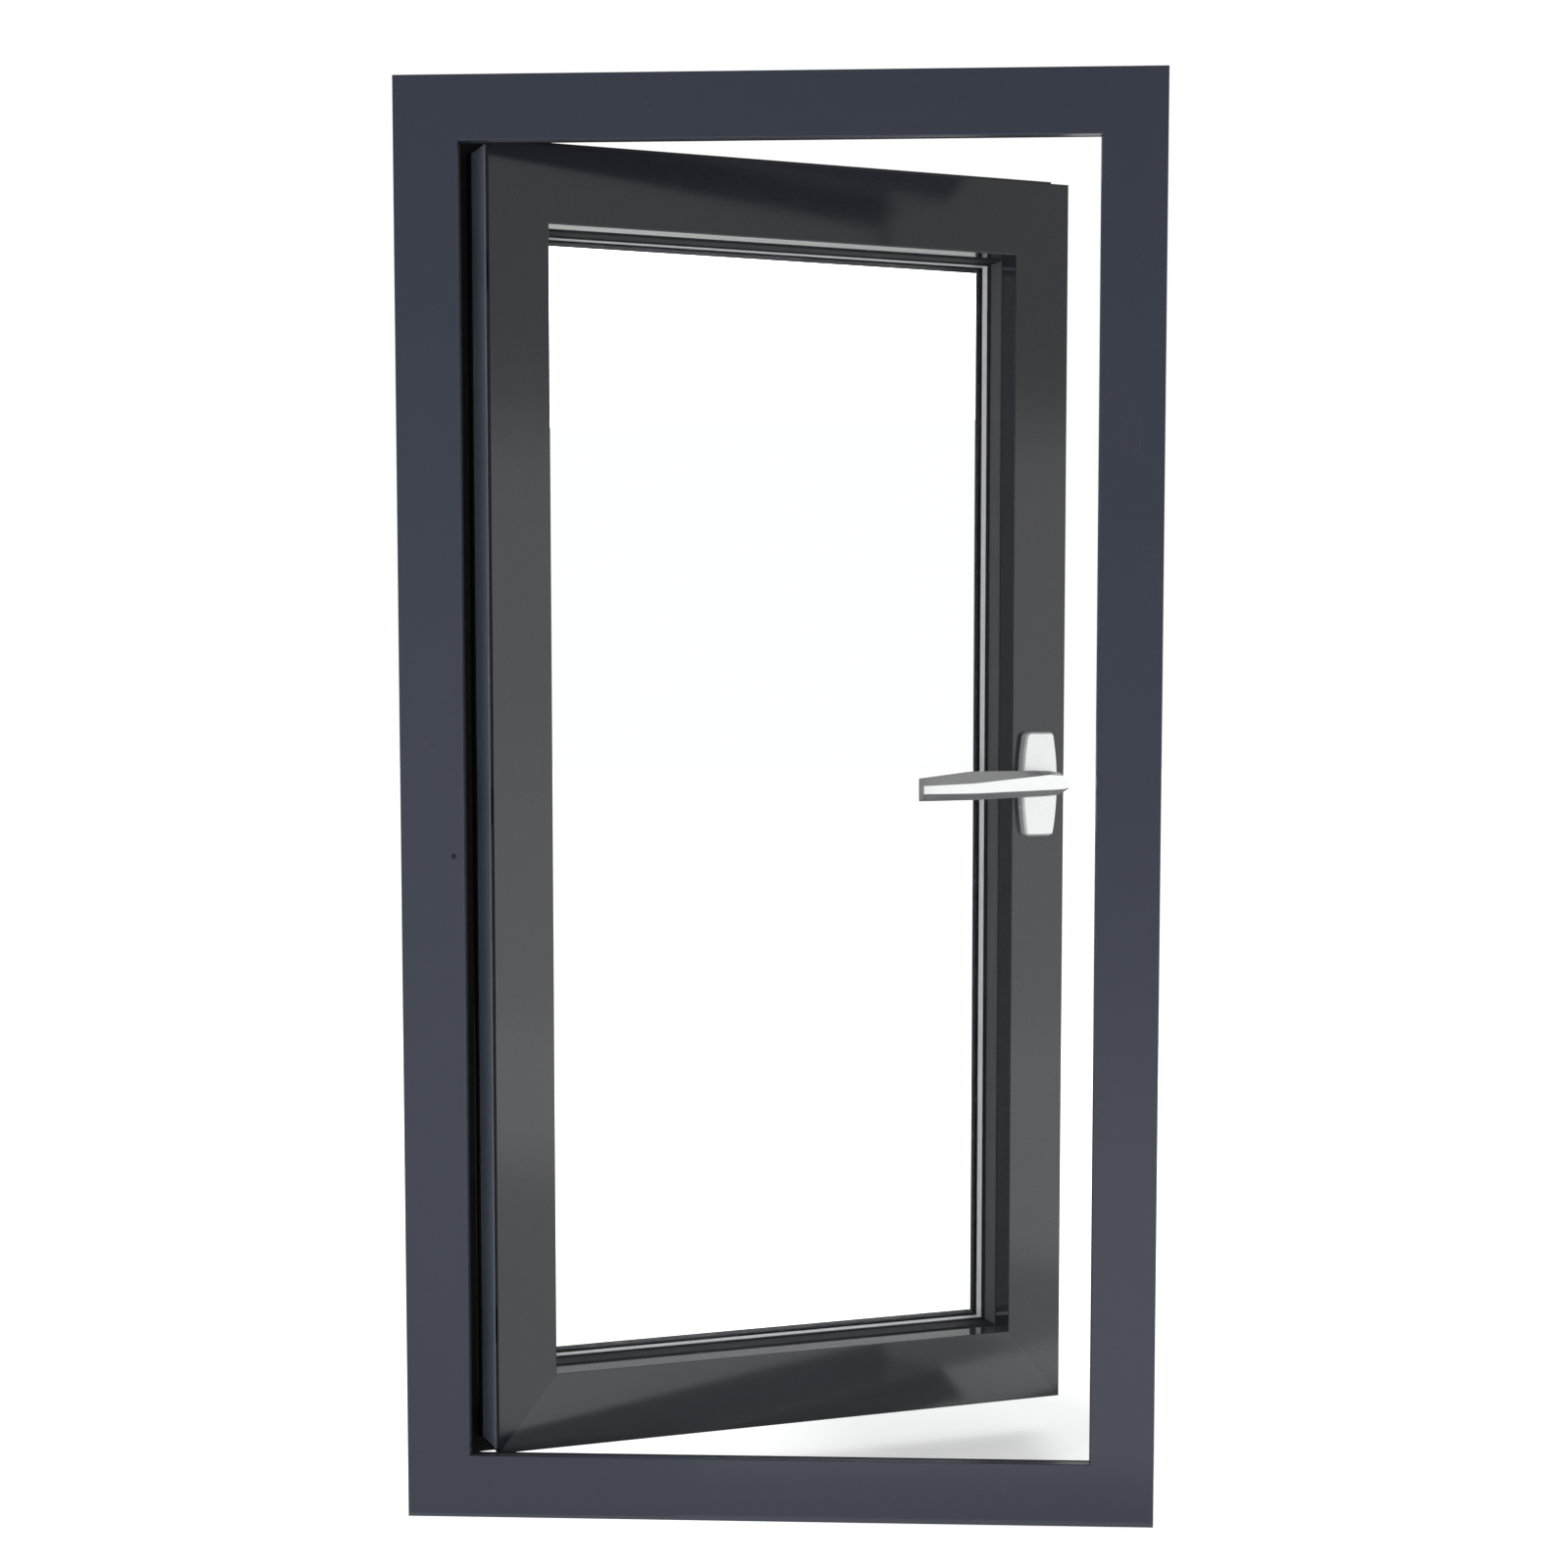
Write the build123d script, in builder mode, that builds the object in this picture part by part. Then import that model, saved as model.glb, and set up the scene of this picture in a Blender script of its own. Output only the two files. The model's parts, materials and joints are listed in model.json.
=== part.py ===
# Side-hung aluminium casement window, opening outwards, seen from the room
# with its sash standing open and its handle turned to the open position.
#
# Frame of the part: +X to the right as seen from the room, +Y out of the
# building, +Z up. The origin is the centre of the sill's underside.
from build123d import *
import os

# Outer frame, millimetres
FRAME_WIDTH = 735
FRAME_HEIGHT = 1400
FRAME_DEPTH = 91
FRAME_FACE = 62
LIP_REACH = 22
LIP_DEPTH = 11
WALL = 2
BREAK_WALL = 4
BREAK_DEPTH = 24
EDGE_ROUND = 1.0
DRAIN_LENGTH = 30
DRAIN_HEIGHT = 5
DRAIN_RISE = 12
DRAIN_SPACING = 440

# Opening sash
LIP_COVER = 8
SEAL_GAP = 5
FLANGE_REACH = 18
FLANGE_DEPTH = 8
STILE_FACE = 61
RAIL_FACE = 76
REVEAL_DEPTH = 33
REBATE = 16
BEAD_SHOWS = 1.3
BEAD_ROUND = 1.0
LEG_SHOWS = 5.3
LEG_DEPTH = 4
EDGE_WALL = 5
OPEN_ANGLE = 24.2

# Double glazing
PANE = 5
CAVITY = 12
GLASS_COVER = 10
INNER_GASKET = 3
OUTER_GASKET = 2
GASKET_COVER = 6
GASKET_SHOWS = 2.5
SPACER_COVER = 5
SPACER_SHOWS = 2

# Seals between frame and sash
SEAL_WIDTH = 6
SEAL_INSET = 2
SEAL_CLEARANCE = 0.5
FLANGE_SEAL_WIDTH = 16
FLANGE_SEAL_INSET = 0.5

# Outside hinges
HINGE_COUNT = 3
HINGE_HEIGHT = 90
HINGE_END = 120
AXIS_FROM_EDGE = 24.5
AXIS_PROUD = 7.5
KNUCKLE_RADIUS = 7
PIN_RADIUS = 3
PIN_CLEARANCE = 0.05
PIN_HEAD_RADIUS = 5
PIN_HEAD = 3
SASH_KNUCKLE = 37
KNUCKLE_GAP = 0.5
LEAF_THICKNESS = 3
FRAME_LEAF_WIDTH = 15.5
SASH_LEAF_WIDTH = 22
LEAF_FROM_AXIS = 12.5
LEAF_CLEARANCE = 0.5

# Lock and handle
PLATE_HEIGHT = 110
PLATE_END_WIDTH = 31
PLATE_MID_WIDTH = 41
PLATE_THICKNESS = 12
PLATE_ROUND = 6
PLATE_BEVEL = 2
HANDLE_FROM_EDGE = 34
HANDLE_ABOVE_MIDDLE = 19
NECK_RADIUS = 9
NECK_CLEARANCE = 0.05
SEAT_CLEARANCE = 0.3
LEVER_STANDOFF = 33
LEVER_THICKNESS = 13
LEVER_SIDE = 4

# Lever sections along its length from the pivot: place, bottom edge, lower and
# upper edges of the front facet, top edge
LEVER_SECTIONS = (
    (-150, -15.6, -7.8, 0.4, 8.1),
    (-92, -15, -7.8, 2.5, 14.8),
    (-5, -11.9, -5, 10.7, 14.8),
    (10, -10.5, -4.5, 9.5, 12.5),
    (18, -6, -3, 3, 5),
)

# Lock
FACEPLATE_LENGTH = 420
FACEPLATE_WIDTH = 18
FACEPLATE_THICKNESS = 2.5
STRIKE_LENGTH = 70
STRIKE_WIDTH = 20
STRIKE_THICKNESS = 2
STRIKE_SLOT_LENGTH = 32
STRIKE_SLOT_WIDTH = 9
STRIKE_SPACING = 700

# Wall fixings through the jambs
FIXING_RADIUS = 4
FIXING_END = 250

# Derived places. Depths run outwards from the room face of the frame.
ROOM_Y = -FRAME_DEPTH / 2
HALF_WIDTH = FRAME_WIDTH / 2
FRAME_BOX = FRAME_FACE - LIP_REACH
BREAK_START = (FRAME_DEPTH - BREAK_DEPTH) / 2
BREAK_END = BREAK_START + BREAK_DEPTH
SASH_EDGE = FRAME_FACE - LIP_COVER
SASH_ROOM_DEPTH = LIP_DEPTH + SEAL_GAP
SASH_BODY_DEPTH = FRAME_DEPTH + SEAL_GAP - SASH_ROOM_DEPTH
SASH_DEPTH = SASH_BODY_DEPTH + FLANGE_DEPTH
SASH_WIDTH = FRAME_WIDTH - 2 * SASH_EDGE
SASH_HEIGHT = FRAME_HEIGHT - 2 * SASH_EDGE
SASH_ROOM_Y = ROOM_Y + SASH_ROOM_DEPTH
SASH_OUT_Y = SASH_ROOM_Y + SASH_DEPTH
UNIT_DEPTH = 2 * PANE + CAVITY
LEG_START = SASH_DEPTH - LEG_DEPTH
UNIT_OUT = LEG_START - OUTER_GASKET
UNIT_IN = UNIT_OUT - UNIT_DEPTH
BEAD_DEPTH = UNIT_IN - INNER_GASKET - REVEAL_DEPTH
AXIS_X = -HALF_WIDTH + AXIS_FROM_EDGE
FRAME_OUT_Y = ROOM_Y + FRAME_DEPTH
AXIS_Y = FRAME_OUT_Y + AXIS_PROUD
HANDLE_X = HALF_WIDTH - SASH_EDGE - HANDLE_FROM_EDGE
HANDLE_Z = FRAME_HEIGHT / 2 + HANDLE_ABOVE_MIDDLE
INWARD_CORNER = (Align.MIN, Align.MIN)

os.makedirs("parts", exist_ok=True)

# The opening turn about the hinge axis, which places every sash piece
opening_turn = (
    Location((AXIS_X, AXIS_Y, 0))
    * Location((0, 0, 0), (0, 0, OPEN_ANGLE))
    * Location((-AXIS_X, -AXIS_Y, 0))
)


def in_sash(plane):
    """A plane drawn on the closed sash, carried to the open position."""
    return Plane(opening_turn * plane.location)


def save(name, part):
    """Label one finished piece and write its file."""
    part.label = name
    export_step(part, f"parts/{name}.step")


def member_planes(edge, depth):
    """Section planes of the four members round a rectangle, at a depth from the room face.

    Sketch x runs inwards from the rectangle's edge, sketch y out of the building.
    """
    side, low, high = HALF_WIDTH - edge, edge, FRAME_HEIGHT - edge
    y = ROOM_Y + depth
    return {
        "bottom": Plane((0, y, low), x_dir=(0, 0, 1), z_dir=(-1, 0, 0)),
        "top": Plane((0, y, high), x_dir=(0, 0, -1), z_dir=(1, 0, 0)),
        "hinge": Plane((-side, y, FRAME_HEIGHT / 2), x_dir=(1, 0, 0), z_dir=(0, 0, 1)),
        "lock": Plane((side, y, FRAME_HEIGHT / 2), x_dir=(-1, 0, 0), z_dir=(0, 0, -1)),
    }


def mitre_planes(edge, stile, rail):
    """Mitre planes at the four corners; their normals point to the top or bottom member."""
    side = HALF_WIDTH - edge
    planes = {}
    for upright, along_x in (("hinge", 1), ("lock", -1)):
        for cross, along_z in (("bottom", 1), ("top", -1)):
            corner = (-along_x * side, 0, edge if cross == "bottom" else FRAME_HEIGHT - edge)
            normal = (along_x / stile, 0, -along_z / rail)
            planes[upright, cross] = Plane(corner, x_dir=(0, 1, 0), z_dir=normal)
    return planes


def member_mitres(member, mitres):
    """The two mitres that end a member, and the side of them that it keeps."""
    keep = Keep.TOP if member in ("bottom", "top") else Keep.BOTTOM
    return [plane for ends, plane in mitres.items() if member in ends], keep


def ring(plane, width, height, band, depth):
    """A rectangular ring: outer size, band (across, up) and depth along the plane's normal."""
    with BuildPart() as piece:
        with BuildSketch(plane):
            Rectangle(width, height)
            Rectangle(width - 2 * band[0], height - 2 * band[1], mode=Mode.SUBTRACT)
        extrude(amount=depth)
    return piece.part


def elevation(x, z, depth):
    """A plane facing the room, sketch x to the right and y up, at a depth from the room face."""
    return Plane((x, ROOM_Y + depth, z), x_dir=(1, 0, 0), z_dir=(0, -1, 0))


# Outer frame: four mitred hollow members with a lip that the sash closes behind
frame_names = {
    "bottom": "frame_sill",
    "top": "frame_head",
    "hinge": "frame_hinge_jamb",
    "lock": "frame_lock_jamb",
}
frame_mitres = mitre_planes(0, FRAME_FACE, FRAME_FACE)

for member, plane in member_planes(0, 0).items():
    length = FRAME_HEIGHT if member in ("hinge", "lock") else FRAME_WIDTH
    with BuildPart() as frame_member:
        with BuildSketch(plane):
            Rectangle(FRAME_BOX, FRAME_DEPTH, align=INWARD_CORNER)
            Rectangle(FRAME_FACE, LIP_DEPTH, align=INWARD_CORNER)
            room_side = [v for v in vertices() if v.Y < LIP_DEPTH + EDGE_ROUND]
            fillet([v for v in room_side if abs(v.X - FRAME_BOX) > EDGE_ROUND], EDGE_ROUND)
            with Locations((WALL, WALL)):
                Rectangle(
                    FRAME_BOX - 2 * WALL,
                    BREAK_START - WALL,
                    align=INWARD_CORNER,
                    mode=Mode.SUBTRACT,
                )
            with Locations((FRAME_BOX, WALL)):
                Rectangle(
                    LIP_REACH - WALL,
                    LIP_DEPTH - 2 * WALL,
                    align=INWARD_CORNER,
                    mode=Mode.SUBTRACT,
                )
            with Locations((BREAK_WALL, BREAK_START + WALL)):
                Rectangle(
                    FRAME_BOX - 2 * BREAK_WALL,
                    BREAK_DEPTH - 2 * WALL,
                    align=INWARD_CORNER,
                    mode=Mode.SUBTRACT,
                )
            with Locations((WALL, BREAK_END)):
                Rectangle(
                    FRAME_BOX - 2 * WALL,
                    FRAME_DEPTH - WALL - BREAK_END,
                    align=INWARD_CORNER,
                    mode=Mode.SUBTRACT,
                )
        extrude(amount=length / 2, both=True)
        cuts, kept = member_mitres(member, frame_mitres)
        for cut in cuts:
            split(bisect_by=cut, keep=kept)
        if member in ("hinge", "lock"):
            middle = plane.origin + plane.y_dir * FRAME_DEPTH / 2
            with BuildSketch(Plane(middle, x_dir=plane.z_dir, z_dir=plane.x_dir)):
                with GridLocations(FRAME_HEIGHT - 2 * FIXING_END, 0, 2, 1):
                    Circle(FIXING_RADIUS)
            extrude(amount=FRAME_BOX, mode=Mode.SUBTRACT)
        if member == "bottom":
            with BuildSketch(Plane((0, FRAME_OUT_Y, DRAIN_RISE), x_dir=(1, 0, 0), z_dir=(0, -1, 0))):
                with GridLocations(DRAIN_SPACING, 0, 2, 1):
                    SlotOverall(DRAIN_LENGTH, DRAIN_HEIGHT)
            extrude(amount=WALL, mode=Mode.SUBTRACT)
    save(frame_names[member], frame_member.part)

seal_edge = SASH_EDGE + SEAL_INSET
frame_seal = ring(
    elevation(0, FRAME_HEIGHT / 2, SASH_ROOM_DEPTH - SEAL_CLEARANCE),
    FRAME_WIDTH - 2 * seal_edge,
    FRAME_HEIGHT - 2 * seal_edge,
    (SEAL_WIDTH, SEAL_WIDTH),
    SEAL_GAP - SEAL_CLEARANCE,
)
save("frame_seal", frame_seal)

# Opening sash: four mitred hollow members with an outer flange over the frame
sash_mitres = mitre_planes(SASH_EDGE, STILE_FACE, RAIL_FACE)
sash_names = {
    "bottom": "sash_bottom_rail",
    "top": "sash_top_rail",
    "hinge": "sash_hinge_stile",
    "lock": "sash_lock_stile",
}
bead_names = {
    "bottom": "glazing_bead_bottom",
    "top": "glazing_bead_top",
    "hinge": "glazing_bead_hinge_side",
    "lock": "glazing_bead_lock_side",
}

for member, closed_plane in member_planes(SASH_EDGE, SASH_ROOM_DEPTH).items():
    upright = member in ("hinge", "lock")
    face = STILE_FACE if upright else RAIL_FACE
    floor = face - REBATE
    length = (SASH_HEIGHT if upright else SASH_WIDTH) + 2 * FLANGE_REACH
    plane = in_sash(closed_plane)
    cuts, kept = member_mitres(member, sash_mitres)
    with BuildPart() as sash_member:
        with BuildSketch(plane):
            Rectangle(face, REVEAL_DEPTH, align=INWARD_CORNER)
            Rectangle(floor, SASH_DEPTH, align=INWARD_CORNER)
            with Locations((-FLANGE_REACH, SASH_BODY_DEPTH)):
                Rectangle(floor + FLANGE_REACH, FLANGE_DEPTH, align=INWARD_CORNER)
            leg = face * (1 + LEG_SHOWS / STILE_FACE)
            with Locations((-FLANGE_REACH, LEG_START)):
                Rectangle(leg + FLANGE_REACH, LEG_DEPTH, align=INWARD_CORNER)
            outer = [v for v in vertices() if v.X < -EDGE_ROUND or v.X > face + EDGE_ROUND]
            room = [v for v in vertices() if v.Y < EDGE_ROUND]
            fillet(outer + room, EDGE_ROUND)
            with Locations((EDGE_WALL, WALL)):
                Rectangle(
                    face - EDGE_WALL - WALL,
                    REVEAL_DEPTH - 2 * WALL,
                    align=INWARD_CORNER,
                    mode=Mode.SUBTRACT,
                )
            with Locations((EDGE_WALL, REVEAL_DEPTH + WALL)):
                Rectangle(
                    floor - EDGE_WALL - WALL,
                    SASH_BODY_DEPTH - REVEAL_DEPTH - 2 * WALL,
                    align=INWARD_CORNER,
                    mode=Mode.SUBTRACT,
                )
            with Locations((WALL - FLANGE_REACH, SASH_BODY_DEPTH + WALL)):
                Rectangle(
                    floor + FLANGE_REACH - 2 * WALL,
                    FLANGE_DEPTH - 2 * WALL,
                    align=INWARD_CORNER,
                    mode=Mode.SUBTRACT,
                )
        extrude(amount=length / 2, both=True)
        for cut in cuts:
            split(bisect_by=in_sash(cut), keep=kept)
        if member == "lock":
            groove = Plane((HALF_WIDTH - SASH_EDGE, 0, HANDLE_Z), x_dir=(0, 1, 0), z_dir=(1, 0, 0))
            groove = groove.offset(-FACEPLATE_THICKNESS)
            faceplate_y = SASH_ROOM_Y + SASH_BODY_DEPTH / 2
            with BuildSketch(in_sash(groove)):
                with Locations((faceplate_y, 0)):
                    SlotOverall(FACEPLATE_LENGTH, FACEPLATE_WIDTH, rotation=90)
            extrude(amount=FACEPLATE_THICKNESS, mode=Mode.SUBTRACT)
    save(sash_names[member], sash_member.part)

    with BuildPart() as bead:
        with BuildSketch(plane):
            bead_width = face * (1 + BEAD_SHOWS / STILE_FACE) - floor
            with Locations((floor, REVEAL_DEPTH)):
                Rectangle(bead_width, BEAD_DEPTH, align=INWARD_CORNER)
            fillet(vertices().group_by(Axis.X)[-1].sort_by(Axis.Y)[0], BEAD_ROUND)
            with Locations((floor + WALL, REVEAL_DEPTH + WALL)):
                Rectangle(
                    bead_width - 2 * WALL,
                    BEAD_DEPTH - 2 * WALL,
                    align=INWARD_CORNER,
                    mode=Mode.SUBTRACT,
                )
        extrude(amount=length / 2, both=True)
        for cut in cuts:
            split(bisect_by=in_sash(cut), keep=kept)
    save(bead_names[member], bead.part)

with BuildPart() as lock_faceplate:
    with BuildSketch(in_sash(groove)):
        with Locations((faceplate_y, 0)):
            SlotOverall(FACEPLATE_LENGTH, FACEPLATE_WIDTH, rotation=90)
    extrude(amount=FACEPLATE_THICKNESS)
save("lock_faceplate", lock_faceplate.part)

flange_seal_edge = SASH_EDGE - FLANGE_REACH + FLANGE_SEAL_INSET
sash_seal = ring(
    in_sash(elevation(0, FRAME_HEIGHT / 2, SASH_ROOM_DEPTH + SASH_BODY_DEPTH)),
    FRAME_WIDTH - 2 * flange_seal_edge,
    FRAME_HEIGHT - 2 * flange_seal_edge,
    (FLANGE_SEAL_WIDTH, FLANGE_SEAL_WIDTH),
    SEAL_GAP - SEAL_CLEARANCE,
)
save("sash_seal", sash_seal)

# Double glazing between two gaskets
sight_width = SASH_WIDTH - 2 * STILE_FACE
sight_height = SASH_HEIGHT - 2 * RAIL_FACE
glass_width = sight_width + 2 * GLASS_COVER
glass_height = sight_height + 2 * GLASS_COVER


def glazing_plane(depth):
    """A plane across the sash facing the room, at a depth from the sash's room face."""
    return in_sash(elevation(0, FRAME_HEIGHT / 2, SASH_ROOM_DEPTH + depth))


for name, outer_face in (("glass_inner_pane", UNIT_IN + PANE), ("glass_outer_pane", UNIT_OUT)):
    with BuildPart() as pane:
        with BuildSketch(glazing_plane(outer_face)):
            Rectangle(glass_width, glass_height)
        extrude(amount=PANE)
    save(name, pane.part)


def sight_ring(depth, cover, shows, thickness):
    """A ring in the glazing, reaching behind the sight line and showing past it."""
    return ring(
        glazing_plane(depth),
        sight_width + 2 * cover,
        sight_height + 2 * cover,
        (cover + shows, cover + shows),
        thickness,
    )


save("glass_spacer", sight_ring(UNIT_OUT - PANE, SPACER_COVER, SPACER_SHOWS, CAVITY))
save("glazing_gasket_inside", sight_ring(UNIT_IN, GASKET_COVER, GASKET_SHOWS, INNER_GASKET))
save("glazing_gasket_outside", sight_ring(LEG_START, GASKET_COVER, GASKET_SHOWS, OUTER_GASKET))

# Outside hinges: frame halves, sash halves and pins on one upright axis
hinge_span = FRAME_HEIGHT - 2 * HINGE_END - HINGE_HEIGHT
hinge_feet = [HINGE_END + i * hinge_span / (HINGE_COUNT - 1) for i in range(HINGE_COUNT)]
end_knuckle = (HINGE_HEIGHT - SASH_KNUCKLE) / 2 - KNUCKLE_GAP
bore_radius = PIN_RADIUS + PIN_CLEARANCE
frame_leaf_x = AXIS_X - KNUCKLE_RADIUS - LEAF_CLEARANCE

with BuildPart() as hinge_frame_leaves:
    for foot in hinge_feet:
        with BuildSketch(Plane.XY.offset(foot)):
            with Locations((frame_leaf_x, FRAME_OUT_Y)):
                Rectangle(FRAME_LEAF_WIDTH, LEAF_THICKNESS, align=(Align.MAX, Align.MIN))
        extrude(amount=HINGE_HEIGHT)
        for start in (foot, foot + HINGE_HEIGHT - end_knuckle):
            with BuildSketch(Plane.XY.offset(start)):
                with Locations((AXIS_X, FRAME_OUT_Y)):
                    Rectangle(
                        AXIS_X - frame_leaf_x,
                        LEAF_THICKNESS,
                        align=(Align.MAX, Align.MIN),
                    )
                with Locations((AXIS_X, AXIS_Y)):
                    Circle(KNUCKLE_RADIUS)
                    Circle(bore_radius, mode=Mode.SUBTRACT)
            extrude(amount=end_knuckle)
save("hinge_frame_leaves", hinge_frame_leaves.part)

with BuildPart() as hinge_sash_leaves:
    for foot in hinge_feet:
        with BuildSketch(in_sash(Plane.XY.offset(foot))):
            with Locations((AXIS_X + LEAF_FROM_AXIS, SASH_OUT_Y)):
                Rectangle(SASH_LEAF_WIDTH, LEAF_THICKNESS, align=INWARD_CORNER)
        extrude(amount=HINGE_HEIGHT)
        with BuildSketch(in_sash(Plane.XY.offset(foot + end_knuckle + KNUCKLE_GAP))):
            with Locations((AXIS_X, SASH_OUT_Y)):
                Rectangle(LEAF_FROM_AXIS, LEAF_THICKNESS, align=INWARD_CORNER)
            with Locations((AXIS_X, AXIS_Y)):
                Circle(KNUCKLE_RADIUS)
                Circle(bore_radius, mode=Mode.SUBTRACT)
        extrude(amount=SASH_KNUCKLE)
save("hinge_sash_leaves", hinge_sash_leaves.part)

with BuildPart() as hinge_pins:
    for foot in hinge_feet:
        with BuildSketch(Plane((AXIS_X, AXIS_Y, foot))):
            Circle(PIN_RADIUS)
        extrude(amount=HINGE_HEIGHT)
        with BuildSketch(Plane((AXIS_X, AXIS_Y, foot + HINGE_HEIGHT))):
            Circle(PIN_HEAD_RADIUS)
        extrude(amount=PIN_HEAD)
save("hinge_pins", hinge_pins.part)

# Strike plates on the lock jamb, inside the rebate
strike_face = Plane(
    (HALF_WIDTH - FRAME_BOX, ROOM_Y + SASH_ROOM_DEPTH + SASH_BODY_DEPTH / 2, HANDLE_Z),
    x_dir=(0, 0, 1),
    z_dir=(-1, 0, 0),
)
with BuildPart() as strike_plates:
    with BuildSketch(strike_face):
        with GridLocations(STRIKE_SPACING, 0, 2, 1):
            SlotOverall(STRIKE_LENGTH, STRIKE_WIDTH)
            SlotOverall(STRIKE_SLOT_LENGTH, STRIKE_SLOT_WIDTH, mode=Mode.SUBTRACT)
    extrude(amount=STRIKE_THICKNESS)
save("strike_plates", strike_plates.part)

# Handle: a plate on the lock stile and a lever turning in it
plate_plane = in_sash(elevation(HANDLE_X, HANDLE_Z, SASH_ROOM_DEPTH))
with BuildPart() as handle_plate:
    with BuildSketch(plate_plane):
        with BuildLine():
            for side in (1, -1):
                end_x = side * PLATE_END_WIDTH / 2
                end_y = side * PLATE_HEIGHT / 2
                ThreePointArc((end_x, -end_y), (side * PLATE_MID_WIDTH / 2, 0), (end_x, end_y))
                Line((end_x, end_y), (-end_x, end_y))
        make_face()
        fillet(vertices(), PLATE_ROUND)
    extrude(amount=PLATE_THICKNESS)
    chamfer(faces().sort_by(Axis(plate_plane.origin, plate_plane.z_dir))[-1].edges(), PLATE_BEVEL)
    with BuildSketch(plate_plane):
        Circle(NECK_RADIUS + NECK_CLEARANCE)
    extrude(amount=PLATE_THICKNESS, mode=Mode.SUBTRACT)
save("handle_plate", handle_plate.part)

lever_plane = plate_plane.offset(LEVER_STANDOFF)
with BuildPart() as handle_lever:
    for place, bottom, lower, upper, top in LEVER_SECTIONS:
        middle = lever_plane.origin + lever_plane.x_dir * place
        with BuildSketch(Plane(middle, x_dir=lever_plane.y_dir, z_dir=lever_plane.x_dir)):
            with BuildLine():
                Polyline(
                    (bottom, 0),
                    (bottom, LEVER_SIDE),
                    (lower, LEVER_THICKNESS),
                    (upper, LEVER_THICKNESS),
                    (top, LEVER_SIDE),
                    (top, 0),
                    close=True,
                )
            make_face()
    loft(ruled=True)
    with BuildSketch(plate_plane.offset(SEAT_CLEARANCE)):
        Circle(NECK_RADIUS)
    extrude(amount=LEVER_STANDOFF - SEAT_CLEARANCE)
save("handle_lever", handle_lever.part)
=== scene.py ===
import json
from collections import namedtuple
from math import cos, pi, radians, sin

import bmesh
import bpy
from mathutils import Matrix, Vector


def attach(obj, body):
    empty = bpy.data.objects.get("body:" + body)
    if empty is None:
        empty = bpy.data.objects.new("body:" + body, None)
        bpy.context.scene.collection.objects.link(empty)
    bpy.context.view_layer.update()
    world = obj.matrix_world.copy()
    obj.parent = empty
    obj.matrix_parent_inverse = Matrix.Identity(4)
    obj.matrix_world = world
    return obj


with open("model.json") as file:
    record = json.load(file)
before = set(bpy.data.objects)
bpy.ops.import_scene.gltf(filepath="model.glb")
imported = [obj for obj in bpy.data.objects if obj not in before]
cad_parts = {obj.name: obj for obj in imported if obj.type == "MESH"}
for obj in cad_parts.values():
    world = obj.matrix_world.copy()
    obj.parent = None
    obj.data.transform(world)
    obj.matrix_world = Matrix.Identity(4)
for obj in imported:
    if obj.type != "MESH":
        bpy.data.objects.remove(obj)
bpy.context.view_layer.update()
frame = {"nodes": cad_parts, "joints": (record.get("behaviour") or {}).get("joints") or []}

nodes = frame["nodes"]
joints = {joint["name"]: joint for joint in frame["joints"]}

# Directions
UPRIGHT = (0, 0, 1)
LEVEL = (1, 1, 0)
OUTWARDS = (0, 1, 0)
LEFTWARDS = (-1, 0, 0)
RIGHTWARDS = (1, 0, 0)

# Camera, from the photograph's converging edges
PHOTO_SIZE = 1601
FOCAL_PIXELS = 2720.5
OPTICAL_AXIS_ROW = 936.2
CAMERA_PLACE = (0.1394, -2.6114, 0.8051)
CAMERA_YAW = -0.0520
CAMERA_PITCH = 0.0803
SENSOR = 36.0

# Powder coats: base colour, some with painted light, and dust its paler speckle, linear
Coat = namedtuple("Coat", "roughness sheen base dust")
FRAME_COAT = Coat(0.26, 0.5, (0.048, 0.056, 0.079), (0.056, 0.063, 0.086))
HINGE_COAT = FRAME_COAT._replace(roughness=0.3)
SASH_COAT = Coat(0.12, 0.85, (0.021, 0.0225, 0.030), (0.026, 0.0275, 0.035))
# The bottom rail's paler coat is painted light
RAIL_LIT_COAT = Coat(0.1, 0.7, (0.058, 0.060, 0.069), (0.063, 0.065, 0.074))
# Upright beads' coat is painted light, level beads' coat is painted shade
BEAD_LIT_COAT = Coat(0.6, 0.1, (0.086, 0.088, 0.098), (0.092, 0.094, 0.104))
BEAD_SHADE = Coat(0.6, 0.1, (0.030, 0.031, 0.036), (0.036, 0.037, 0.042))
# The cover strip's pale blue coat is painted light on the shaded hinge edge
COVER_LIT_COAT = Coat(0.3, 0.5, (0.33, 0.38, 0.49), (0.35, 0.40, 0.51))

# Brushed metals: colours of the streaks, linear, and the direction of the brushing
Metal = namedtuple("Metal", "light dark roughness along metallic")
STEEL = Metal((0.56, 0.56, 0.57), (0.42, 0.42, 0.43), 0.3, UPRIGHT, 1.0)
SPACER = Metal((0.70, 0.70, 0.71), (0.58, 0.58, 0.59), 0.32, UPRIGHT, 0.4)
LEVER = Metal((0.98, 0.98, 0.98), (0.94, 0.94, 0.94), 0.2, LEVEL, 0.8)
PLATE = LEVER._replace(roughness=0.25, along=UPRIGHT, metallic=0.6)

# Other colours, linear
RUBBER = (0.007, 0.007, 0.009)
RUBBER_BLOOM = (0.016, 0.016, 0.019)
BUTYL = (0.006, 0.006, 0.007)
GLASS = (0.996, 1.0, 0.998)
PLUG_COLOUR = (0.016, 0.018, 0.024)
WHITE = (1, 1, 1)
BLACK = (0, 0, 0)

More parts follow.
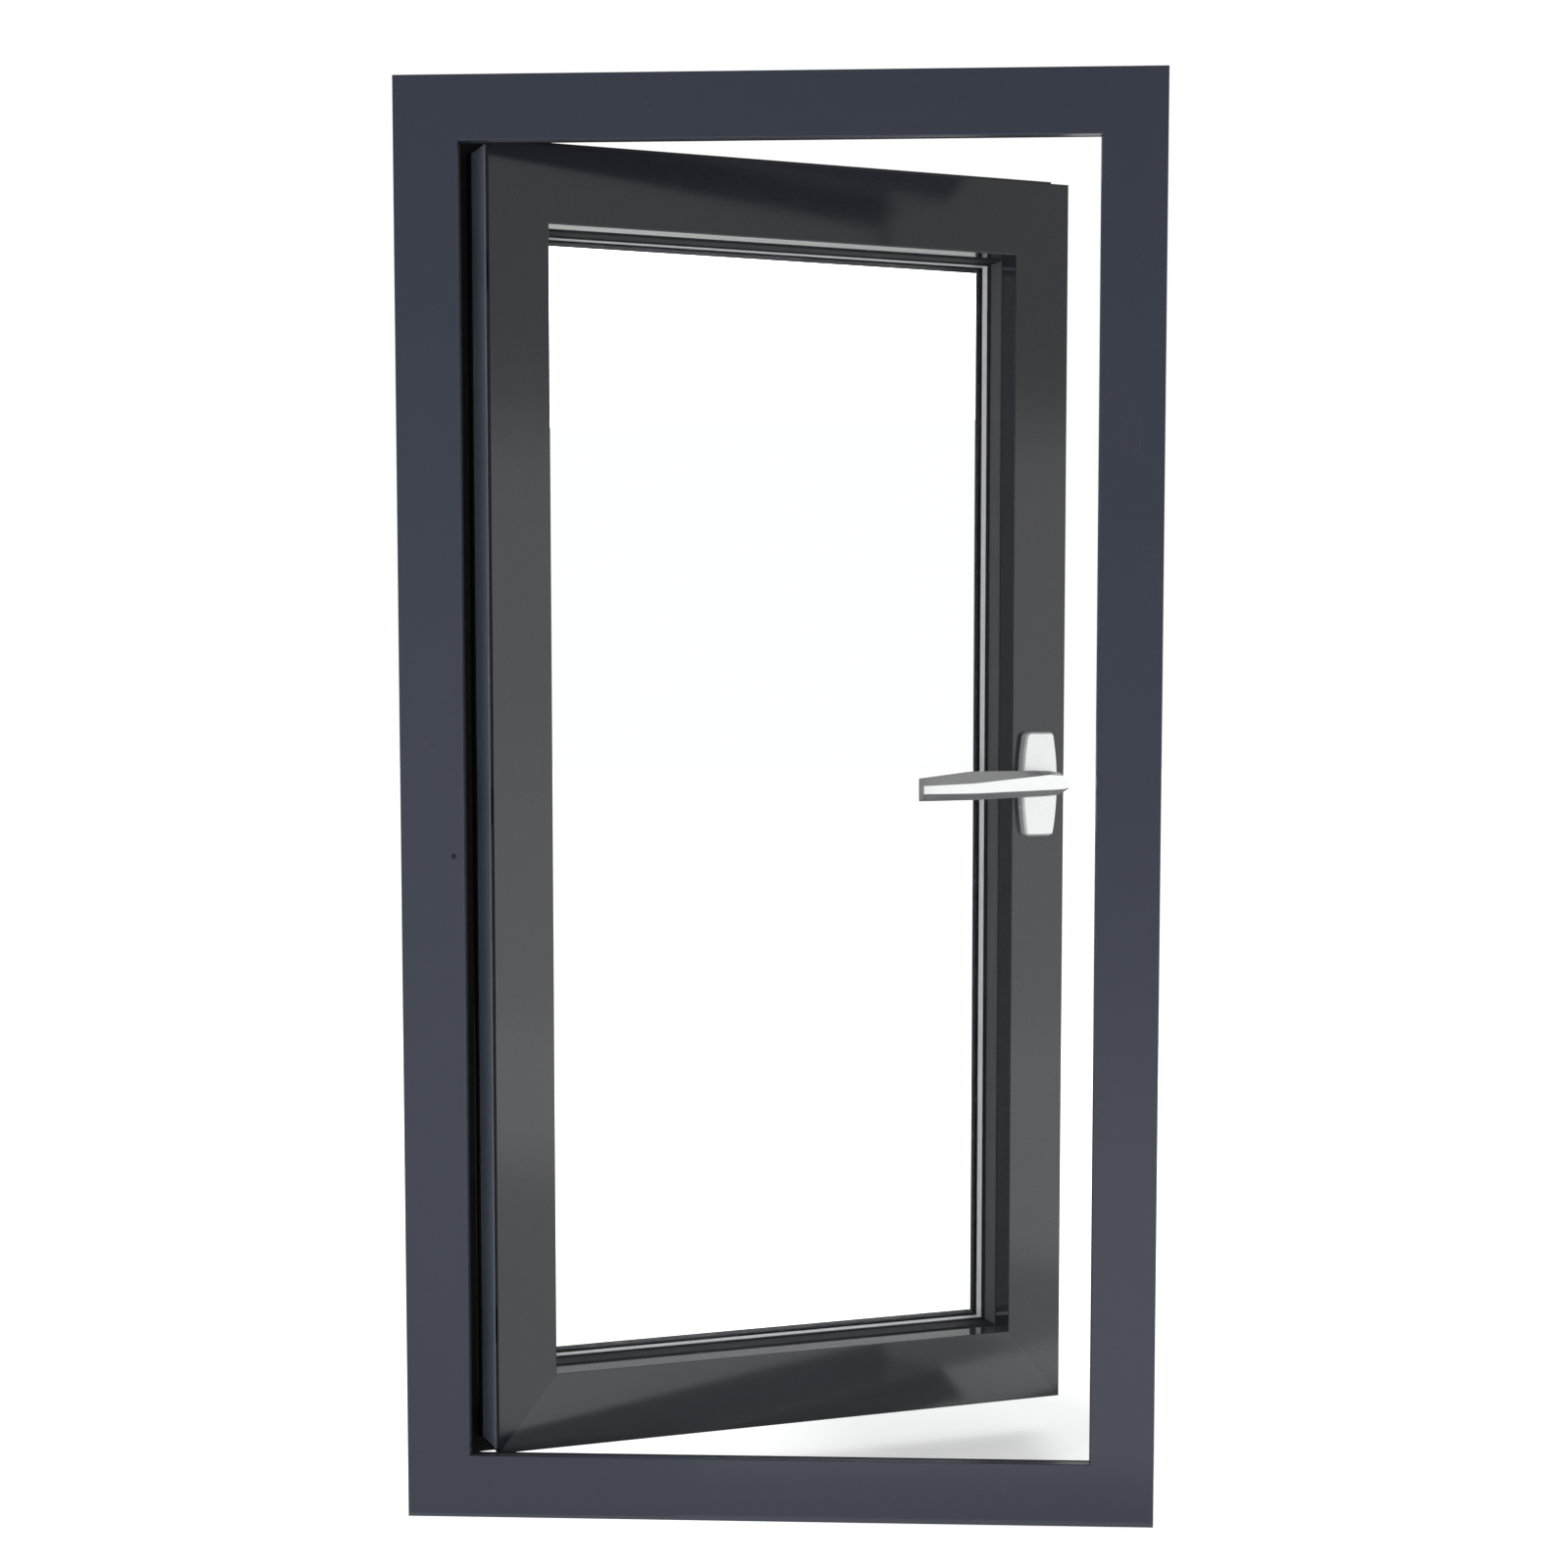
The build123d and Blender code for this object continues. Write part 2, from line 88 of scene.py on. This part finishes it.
# Patterns in the finishes: scales in features per metre, reliefs in metres, gloss as
# roughness from the smoothest to the roughest place
COAT_SPECKLE = 900
COAT_CLOUD = 14
COAT_SMOOTHER, COAT_ROUGHER = 0.02, 0.03
COAT_PEEL = 650
COAT_RELIEF = 0.000012
RUBBER_CLOUD = 60
RUBBER_CLOUD_SPAN = (0.4, 0.8)
RUBBER_WEAR = 220
RUBBER_GLOSS = (0.5, 0.72)
RUBBER_GRAIN = 1500
RUBBER_RELIEF = 0.00003
BRUSH_STREAKS = 2600
BRUSH_STRETCH = 0.02
BRUSH_CLOUD = 90
BRUSH_SMOOTHER, BRUSH_ROUGHER = 0.04, 0.06
BRUSH_RELIEF = 0.000004
BUTYL_WEAR = 300
BUTYL_GLOSS = (0.4, 0.6)
GLASS_CLOUD = 9
GLASS_HAZE = (0.0, 0.012)
GLASS_IOR = 1.12

# Sizes of the solids that the small fittings sit on
FRAME_WIDTH = 0.735
FRAME_HEIGHT = 1.4
FRAME_OUT_Y = 0.0455
SASH_ROOM_Y = -0.0295
SASH_MID_Y = 0.0105
SASH_OUT_Y = 0.0585
SASH_EDGE_X = 0.3135
REBATE_X = 0.3275
LEAF = 0.003
STRIKE = 0.002
FRAME_LEAF_X = -0.35825
SASH_LEAF_X = -0.3195
HANDLE_Z = 0.719
HINGE_FEET = (0.120, 0.655, 1.190)

# Screws: pan heads with a cross recess, and where they sit on each fitting
SCREW_RADIUS = 0.0036
SCREW_PROUD = 0.0009
SCREW_SUNK = 0.0001
SCREW_WAIST = 0.97
SCREW_BROW = 0.8
SCREW_SIDES = 24
RECESS_REACH = 0.0021
RECESS_HALF = 0.00042
RECESS_DEPTH = 0.0007
LEAF_SCREWS = (0.015, 0.045, 0.075)
STRIKE_HALF = 0.350
STRIKE_SCREW = 0.026
FACEPLATE_SCREWS = (-0.195, -0.1, 0.1, 0.195)

# How far the recesses are turned from screw to screw, in radians
LEAF_SPIN = 0.6
HOLE_SPIN = 0.9
SASH_SPIN = 0.4
STRIKE_SPIN = 3
FACEPLATE_SPIN = 5

# Plug on the hinge jamb's lip
PLUG_RADIUS = 0.0029
PLUG_CORE = 0.8
PLUG_FROM_EDGE = 0.052
PLUG_HEIGHT = 0.656

# Cover strip on the hinge stile's edge, start and end measured from the sash's room face
COVER_START = 0.010
COVER_END = 0.060
COVER_FOOT = 0.0565
COVER_THICK = 0.0004
COVER_ROUND = 0.0003

# Studio: what lights the window, and a floor that is greyest under the open sash
SKY = (0.96, 0.98, 1.0)
SKY_LEVEL = 0.3
SEEN_RAYS = ("Is Glossy Ray", "Is Transmission Ray")
FLOOR_COLOUR = (0.8, 0.8, 0.8)
FLOOR_ROUGHNESS = 0.9
FLOOR_REACH = 30.0
# Painted light: floor glow, weakest round the sash's shadow, which adds painted shade there
SHADOW_PLACE = (0.2, 0.32, 0)
SHADOW_NEAR, SHADOW_FAR = 0.13, 0.5
FLOOR_GLOW_NEAR, FLOOR_GLOW_FAR = 0.46, 0.95
LEFT_END = -4.0
FRONT_END = -3.9
RIGHT_END = 4.6
BACK_END = 3.2
CEILING = 4.5
BACK_TOP = 3.5
SILL_FRONT = -0.05
OVER_FLOOR = 0.002
WINDOW_MIDDLE = (0, 0.05, 0.7)


# Shader nodes


def new_material(name):
    """A new node material, its tree and its Principled shader."""
    material = bpy.data.materials.new(name)
    material.use_nodes = True
    shader = material.node_tree.nodes["Principled BSDF"]
    return material, material.node_tree, shader


def noise(tree, scale, detail=3.0, stretch=(1, 1, 1)):
    """Noise over the part's own coordinates, scale in features per metre."""
    place = tree.nodes.new("ShaderNodeTexCoord")
    mapping = tree.nodes.new("ShaderNodeMapping")
    mapping.inputs["Scale"].default_value = stretch
    tree.links.new(place.outputs["Object"], mapping.inputs["Vector"])
    texture = tree.nodes.new("ShaderNodeTexNoise")
    texture.inputs["Scale"].default_value = scale
    texture.inputs["Detail"].default_value = detail
    tree.links.new(mapping.outputs["Vector"], texture.inputs["Vector"])
    return texture.outputs["Fac"]


def ramp(tree, source, low, high, start=0.35, end=0.65):
    """A colour that runs from low to high as the source goes from start to end."""
    node = tree.nodes.new("ShaderNodeValToRGB")
    node.color_ramp.elements[0].position = start
    node.color_ramp.elements[0].color = (*low, 1)
    node.color_ramp.elements[1].position = end
    node.color_ramp.elements[1].color = (*high, 1)
    tree.links.new(source, node.inputs["Fac"])
    return node.outputs["Color"]


def span(tree, source, low, high, start=0.0, end=1.0):
    """A number that runs from low to high as the source goes from start to end."""
    node = tree.nodes.new("ShaderNodeMapRange")
    node.inputs["From Min"].default_value = start
    node.inputs["From Max"].default_value = end
    node.inputs["To Min"].default_value = low
    node.inputs["To Max"].default_value = high
    tree.links.new(source, node.inputs["Value"])
    return node.outputs["Result"]


def distance(tree, source, place):
    """The source vector's distance from a place."""
    node = tree.nodes.new("ShaderNodeVectorMath")
    node.operation = "DISTANCE"
    node.inputs[1].default_value = place
    tree.links.new(source, node.inputs[0])
    return node.outputs["Value"]


def bump(tree, shader, source, height):
    """Fine relief of the given height in metres."""
    node = tree.nodes.new("ShaderNodeBump")
    node.inputs["Distance"].default_value = height
    tree.links.new(source, node.inputs["Height"])
    tree.links.new(node.outputs["Normal"], shader.inputs["Normal"])


# Finishes


def plug_spot(tree, place):
    """1 on the plug, which lies on a line along the depth through a place, 0 off it."""
    here = tree.nodes.new("ShaderNodeTexCoord")
    flat = tree.nodes.new("ShaderNodeVectorMath")
    flat.operation = "MULTIPLY"
    flat.inputs[1].default_value = (1, 0, 1)
    tree.links.new(here.outputs["Object"], flat.inputs[0])
    away = distance(tree, flat.outputs["Vector"], (place[0], 0, place[1]))
    return span(tree, away, 0.0, 1.0, PLUG_RADIUS, PLUG_RADIUS * PLUG_CORE)


def powder_coat(name, coat, plug=None):
    """Satin powder coat: orange peel, a faint speckle, uneven gloss and perhaps a plug."""
    material, tree, shader = new_material(name)
    links = tree.links
    shader.inputs["Specular IOR Level"].default_value = coat.sheen
    colour = ramp(tree, noise(tree, COAT_SPECKLE, 2), coat.base, coat.dust)
    if plug is not None:
        spot = tree.nodes.new("ShaderNodeMixRGB")
        links.new(plug_spot(tree, plug), spot.inputs["Fac"])
        links.new(colour, spot.inputs["Color1"])
        spot.inputs["Color2"].default_value = (*PLUG_COLOUR, 1)
        colour = spot.outputs["Color"]
    links.new(colour, shader.inputs["Base Color"])
    smooth, rough = coat.roughness - COAT_SMOOTHER, coat.roughness + COAT_ROUGHER
    gloss = span(tree, noise(tree, COAT_CLOUD, 2), smooth, rough)
    links.new(gloss, shader.inputs["Roughness"])
    bump(tree, shader, noise(tree, COAT_PEEL, 2), COAT_RELIEF)
    return material


def rubber(name):
    """Matt black rubber with a faint grey bloom."""
    material, tree, shader = new_material(name)
    cloud = noise(tree, RUBBER_CLOUD, 4)
    colour = ramp(tree, cloud, RUBBER, RUBBER_BLOOM, *RUBBER_CLOUD_SPAN)
    tree.links.new(colour, shader.inputs["Base Color"])
    gloss = span(tree, noise(tree, RUBBER_WEAR), *RUBBER_GLOSS)
    tree.links.new(gloss, shader.inputs["Roughness"])
    bump(tree, shader, noise(tree, RUBBER_GRAIN, 2), RUBBER_RELIEF)
    return material


def brushed(name, metal):
    """Metal brushed along one direction: streaks in colour, gloss and relief."""
    material, tree, shader = new_material(name)
    shader.inputs["Metallic"].default_value = metal.metallic
    stretch = tuple(BRUSH_STRETCH if part else 1 for part in metal.along)
    streaks = noise(tree, BRUSH_STREAKS, stretch=stretch)
    colour = ramp(tree, streaks, metal.dark, metal.light)
    tree.links.new(colour, shader.inputs["Base Color"])
    smooth, rough = metal.roughness - BRUSH_SMOOTHER, metal.roughness + BRUSH_ROUGHER
    gloss = span(tree, noise(tree, BRUSH_CLOUD), smooth, rough)
    tree.links.new(gloss, shader.inputs["Roughness"])
    bump(tree, shader, streaks, BRUSH_RELIEF)
    return material


def spacer_bar(name):
    """Brushed spacer with black butyl on the two sides that meet the panes."""
    material = brushed(name, SPACER)
    tree = material.node_tree
    metal = tree.nodes["Principled BSDF"]
    butyl = tree.nodes.new("ShaderNodeBsdfPrincipled")
    butyl.inputs["Base Color"].default_value = (*BUTYL, 1)
    gloss = span(tree, noise(tree, BUTYL_WEAR), *BUTYL_GLOSS)
    tree.links.new(gloss, butyl.inputs["Roughness"])
    here = tree.nodes.new("ShaderNodeTexCoord")
    facing = tree.nodes.new("ShaderNodeVectorMath")
    facing.operation = "DOT_PRODUCT"
    # The handle turns about the open sash's normal
    facing.inputs[1].default_value = tuple(joints["handle_turn"]["axis"])
    tree.links.new(here.outputs["Normal"], facing.inputs[0])
    side = tree.nodes.new("ShaderNodeMath")
    side.operation = "ABSOLUTE"
    tree.links.new(facing.outputs["Value"], side.inputs[0])
    mix = tree.nodes.new("ShaderNodeMixShader")
    tree.links.new(side.outputs["Value"], mix.inputs["Fac"])
    tree.links.new(metal.outputs["BSDF"], mix.inputs[1])
    tree.links.new(butyl.outputs["BSDF"], mix.inputs[2])
    tree.links.new(mix.outputs["Shader"], tree.nodes["Material Output"].inputs["Surface"])
    return material


def clear_glass(name):
    """Float glass with the faintest haze of handling."""
    material, tree, shader = new_material(name)
    shader.inputs["Base Color"].default_value = (*GLASS, 1)
    shader.inputs["Transmission Weight"].default_value = 1.0
    shader.inputs["IOR"].default_value = GLASS_IOR
    haze = span(tree, noise(tree, GLASS_CLOUD, 1), *GLASS_HAZE)
    tree.links.new(haze, shader.inputs["Roughness"])
    return material


def dress(material, *names):
    """Gives the named solids a finish."""
    for name in names:
        nodes[name].material_slots[0].material = material


# Frame, with a small plug on the hinge jamb's lip under the middle
plug_place = (PLUG_FROM_EDGE - FRAME_WIDTH / 2, PLUG_HEIGHT)
frame_finish = powder_coat("frame_coating", FRAME_COAT)
dress(frame_finish, "frame_sill", "frame_head", "frame_lock_jamb")
dress(powder_coat("frame_coating_plug", FRAME_COAT, plug_place), "frame_hinge_jamb")

# Sash and matt beads: painted light pales the bottom rail, painted shade the level beads
sash_finish = powder_coat("sash_coating", SASH_COAT)
dress(sash_finish, "sash_top_rail", "sash_hinge_stile", "sash_lock_stile")
dress(powder_coat("rail_painted_light", RAIL_LIT_COAT), "sash_bottom_rail")
# Upright beads: lighter coat, painted light
lit_bead_finish = powder_coat("bead_painted_light", BEAD_LIT_COAT)
dress(lit_bead_finish, "glazing_bead_hinge_side", "glazing_bead_lock_side")
# Level beads: darker coat, painted shade
shade_finish = powder_coat("bead_shade", BEAD_SHADE)
dress(shade_finish, "glazing_bead_bottom", "glazing_bead_top")

# Seals and glazing
seal_finish = rubber("black_seal")
dress(seal_finish, "frame_seal", "sash_seal")
dress(seal_finish, "glazing_gasket_inside", "glazing_gasket_outside")
dress(clear_glass("clear_glass"), "glass_inner_pane", "glass_outer_pane")
dress(spacer_bar("spacer_metal"), "glass_spacer")

# Fittings, and a handle whose plate is a softer silver than its lever
hinge_finish = powder_coat("hinge_coating", HINGE_COAT)
dress(hinge_finish, "hinge_frame_leaves", "hinge_sash_leaves")
steel_finish = brushed("steel_fittings", STEEL)
dress(steel_finish, "hinge_pins", "strike_plates", "lock_faceplate")
dress(brushed("handle_metal", LEVER), "handle_lever")
dress(brushed("handle_plate_metal", PLATE), "handle_plate")

# The lock jamb keeps out of the sash's and handle's reflections
nodes["frame_lock_jamb"].visible_glossy = False

# Clear panes let the lamps through and keep out of reflections
for name in ("glass_inner_pane", "glass_outer_pane"):
    nodes[name].visible_shadow = False
    nodes[name].visible_glossy = False


# Small fittings

# Turn from the closed sash to the sash at rest
hinge = joints["sash_hinge"]
axis_place = Vector(hinge["pos_m"])
opening_turn = (
    Matrix.Translation(axis_place)
    @ Matrix.Rotation(radians(-hinge["range_deg"][0]), 4, "Z")
    @ Matrix.Translation(-axis_place)
)


def loop(mesh, points):
    """A closed loop of new vertices and its edges."""
    corners = [mesh.verts.new(point) for point in points]
    edges = [mesh.edges.new((corners[i - 1], corners[i])) for i in range(len(corners))]
    return corners, edges


def band(mesh, low, high):
    """Faces between two loops of the same length."""
    for i in range(len(low)):
        mesh.faces.new((low[i - 1], low[i], high[i], high[i - 1]))


def add_object(name, data, material):
    """An object of one material in the scene, made from mesh data."""
    thing = bpy.data.objects.new(name, data)
    bpy.context.scene.collection.objects.link(thing)
    data.materials.append(material)
    return thing


def add_fitting(name, mesh, material):
    """An object made from a finished bmesh, which is freed."""
    bmesh.ops.recalc_face_normals(mesh, faces=mesh.faces)
    data = bpy.data.meshes.new(name)
    mesh.to_mesh(data)
    mesh.free()
    return add_object(name, data, material)


def add_screw(mesh, turn):
    """One pan-head screw with a cross recess, standing on the turn's XY plane."""
    angles = [2 * pi * i / SCREW_SIDES for i in range(SCREW_SIDES)]
    circle = [(cos(angle), sin(angle)) for angle in angles]
    quarter = [
        (RECESS_REACH, -RECESS_HALF),
        (RECESS_REACH, RECESS_HALF),
        (RECESS_HALF, RECESS_HALF),
    ]
    cross = []
    for quarter_turn in range(4):
        c, s = cos(quarter_turn * pi / 2), sin(quarter_turn * pi / 2)
        cross += [(c * x - s * y, s * x + c * y) for x, y in quarter]

    def ring(radius, height):
        return [turn @ Vector((radius * x, radius * y, height)) for x, y in circle]

    def recess(height):
        return [turn @ Vector((x, y, height)) for x, y in cross]

    foot, _ = loop(mesh, ring(SCREW_RADIUS, -SCREW_SUNK))
    waist, _ = loop(mesh, ring(SCREW_RADIUS * SCREW_WAIST, SCREW_PROUD / 2))
    brow, brow_edges = loop(mesh, ring(SCREW_RADIUS * SCREW_BROW, SCREW_PROUD))
    mouth, mouth_edges = loop(mesh, recess(SCREW_PROUD))
    bottom, _ = loop(mesh, recess(SCREW_PROUD - RECESS_DEPTH))
    band(mesh, foot, waist)
    band(mesh, waist, brow)
    band(mesh, bottom, mouth)
    mesh.faces.new(bottom)
    bmesh.ops.triangle_fill(mesh, edges=brow_edges + mouth_edges, use_beauty=True)


def screws(name, body, turns):
    """A set of screws on one body, one turn matrix for each."""
    mesh = bmesh.new()
    for turn in turns:
        add_screw(mesh, turn)
    piece = add_fitting(name, mesh, steel_finish)
    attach(piece, body)


def standing(place, normal, spin):
    """A turn that stands +Z along a normal at a place, spun about it."""
    up = Vector(normal).to_track_quat("Z", "Y").to_matrix().to_4x4()
    return Matrix.Translation(place) @ up @ Matrix.Rotation(spin, 4, "Z")


def edge_cover(name):
    """A thin cover strip with eased long edges, clipped on the hinge stile's edge."""
    start, end = SASH_ROOM_Y + COVER_START, SASH_ROOM_Y + COVER_END
    section = [
        (0.0, start),
        (COVER_THICK - COVER_ROUND, start),
        (COVER_THICK, start + COVER_ROUND),
        (COVER_THICK, end - COVER_ROUND),
        (COVER_THICK - COVER_ROUND, end),
        (0.0, end),
    ]
    mesh = bmesh.new()
    rows = []
    for z in (COVER_FOOT, FRAME_HEIGHT - COVER_FOOT):
        points = [opening_turn @ Vector((-SASH_EDGE_X - out, y, z)) for out, y in section]
        rows.append(loop(mesh, points)[0])
    band(mesh, rows[0], rows[1])
    for row in rows:
        mesh.faces.new(row)
    # Its pale blue coat is painted light where the edge lies in shade
    piece = add_fitting(name, mesh, powder_coat("edge_cover", COVER_LIT_COAT))
    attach(piece, "sash")


edge_cover("hinge_edge_cover")
frame_turns, sash_turns, strike_turns, lock_turns = [], [], [], []
for row, foot in enumerate(HINGE_FEET):
    for hole, rise in enumerate(LEAF_SCREWS):
        spin = LEAF_SPIN * row + HOLE_SPIN * hole
        leaf = (FRAME_LEAF_X, FRAME_OUT_Y + LEAF, foot + rise)
        frame_turns.append(standing(leaf, OUTWARDS, spin))
        leaf = (SASH_LEAF_X, SASH_OUT_Y + LEAF, foot + rise)
        sash_turns.append(opening_turn @ standing(leaf, OUTWARDS, spin + SASH_SPIN))
for half in (-STRIKE_HALF, STRIKE_HALF):
    for end in (-STRIKE_SCREW, STRIKE_SCREW):
        strike = (REBATE_X - STRIKE, SASH_MID_Y, HANDLE_Z + half + end)
        strike_turns.append(standing(strike, LEFTWARDS, STRIKE_SPIN * end + half))
for rise in FACEPLATE_SCREWS:
    edge = (SASH_EDGE_X, SASH_MID_Y, HANDLE_Z + rise)
    lock_turns.append(opening_turn @ standing(edge, RIGHTWARDS, FACEPLATE_SPIN * rise))
screws("frame_leaf_screws", "frame", frame_turns)
screws("sash_leaf_screws", "sash", sash_turns)
screws("strike_screws", "frame", strike_turns)
screws("faceplate_screws", "sash", lock_turns)


# Studio: pale floor, white surroundings, reflection sheets, soft lamps


def light_seen(tree):
    """1 for rays that look at the studio, 0 for those that only carry its light."""
    path = tree.nodes.new("ShaderNodeLightPath")
    seen = path.outputs["Is Camera Ray"]
    for ray in SEEN_RAYS:
        either = tree.nodes.new("ShaderNodeMath")
        either.operation = "MAXIMUM"
        tree.links.new(seen, either.inputs[0])
        tree.links.new(path.outputs[ray], either.inputs[1])
        seen = either.outputs["Value"]
    return seen


def make_world():
    """White to look at, a plain soft level to be lit by."""
    world = bpy.data.worlds.new("studio")
    bpy.context.scene.world = world
    world.use_nodes = True
    tree = world.node_tree
    lit = tree.nodes["Background"]
    lit.inputs["Color"].default_value = (*SKY, 1)
    lit.inputs["Strength"].default_value = SKY_LEVEL
    white = tree.nodes.new("ShaderNodeBackground")
    white.inputs["Color"].default_value = (*WHITE, 1)
    white.inputs["Strength"].default_value = 1.0
    mix = tree.nodes.new("ShaderNodeMixShader")
    tree.links.new(light_seen(tree), mix.inputs["Fac"])
    tree.links.new(lit.outputs["Background"], mix.inputs[1])
    tree.links.new(white.outputs["Background"], mix.inputs[2])
    tree.links.new(mix.outputs["Shader"], tree.nodes["World Output"].inputs["Surface"])


def glowing(name, colour):
    """A material with no sheen that gives off white light."""
    material, tree, shader = new_material(name)
    shader.inputs["Base Color"].default_value = (*colour, 1)
    shader.inputs["Specular IOR Level"].default_value = 0.0
    shader.inputs["Emission Color"].default_value = (*WHITE, 1)
    return material, tree, shader


def quad(name, corners, material):
    """A stage sheet with the given corners."""
    mesh = bpy.data.meshes.new(name)
    mesh.from_pydata(corners, [], [tuple(range(len(corners)))])
    sheet = add_object(name, mesh, material)
    return sheet


def level_corners(start, end, height):
    """The corners of a level rectangle between two corners on the floor plan."""
    plan = [start, (end[0], start[1]), end, (start[0], end[1])]
    return [(x, y, height) for x, y in plan]


def make_floor():
    """A pale floor that keeps the open sash's shadow and fades to white round it."""
    material, tree, shader = glowing("floor", FLOOR_COLOUR)
    shader.inputs["Roughness"].default_value = FLOOR_ROUGHNESS
    here = tree.nodes.new("ShaderNodeTexCoord")
    # Painted glow, least near the sash, so the floor there is darker by painted shade and
    # shadow
    away = distance(tree, here.outputs["Object"], SHADOW_PLACE)
    fade = span(tree, away, FLOOR_GLOW_NEAR, FLOOR_GLOW_FAR, SHADOW_NEAR, SHADOW_FAR)
    glow = tree.nodes.new("ShaderNodeMath")
    glow.operation = "MULTIPLY"
    tree.links.new(light_seen(tree), glow.inputs[0])
    tree.links.new(fade, glow.inputs[1])
    tree.links.new(glow.outputs["Value"], shader.inputs["Emission Strength"])
    ends = (-FLOOR_REACH, -FLOOR_REACH), (FLOOR_REACH, FLOOR_REACH)
    quad("floor", level_corners(*ends, 0), material)


def make_flag(name, corners, level):
    """A sheet of one grey level, seen only in reflections."""
    material, _, shader = glowing(name, BLACK)
    shader.inputs["Emission Strength"].default_value = level
    flag = quad(name, corners, material)
    flag.visible_camera = False
    flag.visible_transmission = False
    flag.visible_diffuse = False
    flag.visible_shadow = False


def upright_flag(name, start, end, low, high, level):
    """A standing flag between two places on the floor plan."""
    corners = [(*start, low), (*end, low), (*end, high), (*start, high)]
    make_flag(name, corners, level)


def level_flag(name, start, end, height, level):
    """A lying flag between two corners on the floor plan."""
    make_flag(name, level_corners(start, end, height), level)


def lamp(name, place, aim, size, power):
    """A soft square lamp at a place, turned to an aim point."""
    data = bpy.data.lights.new(name, "AREA")
    data.size = size
    data.energy = power
    light = bpy.data.objects.new(name, data)
    light.location = place
    light.rotation_mode = "QUATERNION"
    light.rotation_quaternion = (Vector(aim) - Vector(place)).to_track_quat("-Z", "Y")
    light.visible_glossy = False
    bpy.context.scene.collection.objects.link(light)


def make_camera():
    """The photograph's camera, its optical axis below the picture's centre."""
    data = bpy.data.cameras.new("camera")
    data.sensor_width = SENSOR
    data.lens = SENSOR * FOCAL_PIXELS / PHOTO_SIZE
    data.shift_y = (OPTICAL_AXIS_ROW - PHOTO_SIZE / 2) / PHOTO_SIZE
    camera = bpy.data.objects.new("camera", data)
    bpy.context.scene.collection.objects.link(camera)
    camera.location = CAMERA_PLACE
    camera.rotation_euler = (pi / 2 - CAMERA_PITCH, 0, -CAMERA_YAW)
    bpy.context.scene.camera = camera


make_world()
make_floor()

# Dark in front, lighter to the right and behind the sash
left_corner, right_corner = (LEFT_END, FRONT_END), (1.4, FRONT_END)
side_end, back_corner = (RIGHT_END, -1.2), (-0.9, BACK_END)
upright_flag("flag_front", left_corner, right_corner, low=0.0, high=CEILING, level=0.03)
upright_flag("flag_right", right_corner, side_end, low=1.5, high=CEILING, level=0.45)
upright_flag("flag_back_left", (-3.2, 0.3), back_corner, low=0.0, high=BACK_TOP, level=0.1)
upright_flag("flag_back", back_corner, (2.0, BACK_END), low=0.78, high=BACK_TOP, level=0.4)
level_flag("flag_ceiling", left_corner, (RIGHT_END, 6.0), height=CEILING, level=0.2)

# The floor as reflections see it, lightest to the right in front
seam = -0.1
level_flag("flag_floor_left", left_corner, (seam, SILL_FRONT), OVER_FLOOR, level=0.45)
level_flag("flag_floor_right", (seam, FRONT_END), (1.0, SILL_FRONT), OVER_FLOOR, level=0.92)
level_flag("flag_floor_near", (-0.6, -0.2), (0.6, SILL_FRONT), 2 * OVER_FLOOR, level=0.5)
level_flag("flag_floor_back", (LEFT_END, 0.1), (1.2, BACK_END), OVER_FLOOR, level=0.1)

lamp("key", (-0.6, -3.0, 0.35), (0, 0.05, 0.4), size=1.8, power=48)
lamp("left", (-2.2, -1.2, 0.6), WINDOW_MIDDLE, size=1.4, power=10)
lamp("fill", (2.4, -2.6, 0.9), WINDOW_MIDDLE, size=1.8, power=10)
lamp("back", (0.4, 3.2, 2.6), WINDOW_MIDDLE, size=2.6, power=70)
make_camera()
bpy.context.scene.view_settings.view_transform = "Standard"
